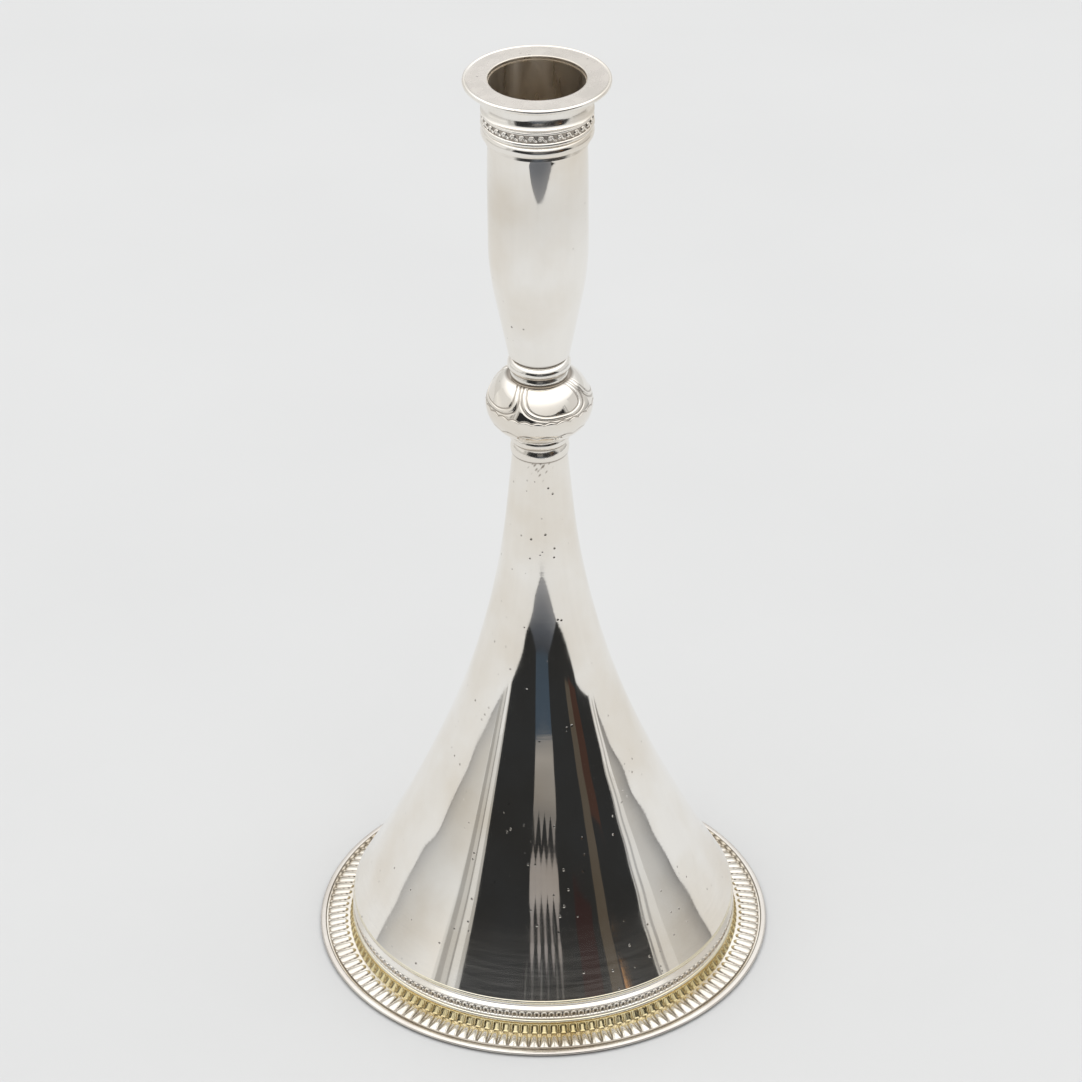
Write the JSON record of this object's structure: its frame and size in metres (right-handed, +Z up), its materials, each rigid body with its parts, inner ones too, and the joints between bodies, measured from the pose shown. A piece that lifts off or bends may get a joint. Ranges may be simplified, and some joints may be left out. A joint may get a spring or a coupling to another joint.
{
  "type": "altar candlestick",
  "caption": "Tall silver candlestick: a hollow trumpet-shaped foot on a fluted gilt border, a round knop between collars, and a tapering candle socket with a flat drip pan.",
  "frame": {"origin": "centre of the circular underside, on the surface that the candlestick stands on", "axes": "+Z up along the axis of the candle socket, +X to the right and +Y away from the side with the camera"},
  "size_m": [0.115, 0.115, 0.24],
  "materials": {
    "polished_silver": "polished silver with fine wear, pits and scratches",
    "satin_silver": "satin silver, spun and lightly brushed",
    "warm_silver": "polished silver with a trace of worn gilding",
    "gilt": "polished gilding, darker in the flutes",
    "pale_gilt": "worn pale gilding over silver",
    "tarnished_silver": "unpolished, brown tarnish",
    "plated_steel": "turned and plated steel"
  },
  "bodies": {
    "root": {"foot_ring": "polished_silver", "rim_wire": "warm_silver", "tongue_border": "warm_silver", "gilt_flute_band": "gilt", "plain_step_ring": "pale_gilt", "arcade_band": "polished_silver", "base_fillet_band": "polished_silver", "bell_edge_wire": "pale_gilt", "base_backing_band": "polished_silver", "bell": "polished_silver", "bell_neck_bush": "tarnished_silver", "lower_knop_collar": "polished_silver", "knop_lower_half": "polished_silver", "knop_upper_half": "polished_silver", "upper_knop_collar": "polished_silver", "knop_spacer_tube": "plated_steel", "candle_socket": "polished_silver", "socket_boss": "tarnished_silver", "candle_cup_floor": "tarnished_silver", "collar_torus_ring": "polished_silver", "lower_frieze_wire": "polished_silver", "wave_frieze_band": "polished_silver", "upper_frieze_wire": "polished_silver", "neck_cove_ring": "polished_silver", "drip_pan": "satin_silver", "stem_stud": "plated_steel", "stem_washer": "plated_steel", "stem_nut": "plated_steel"}
  },
  "joints": []
}
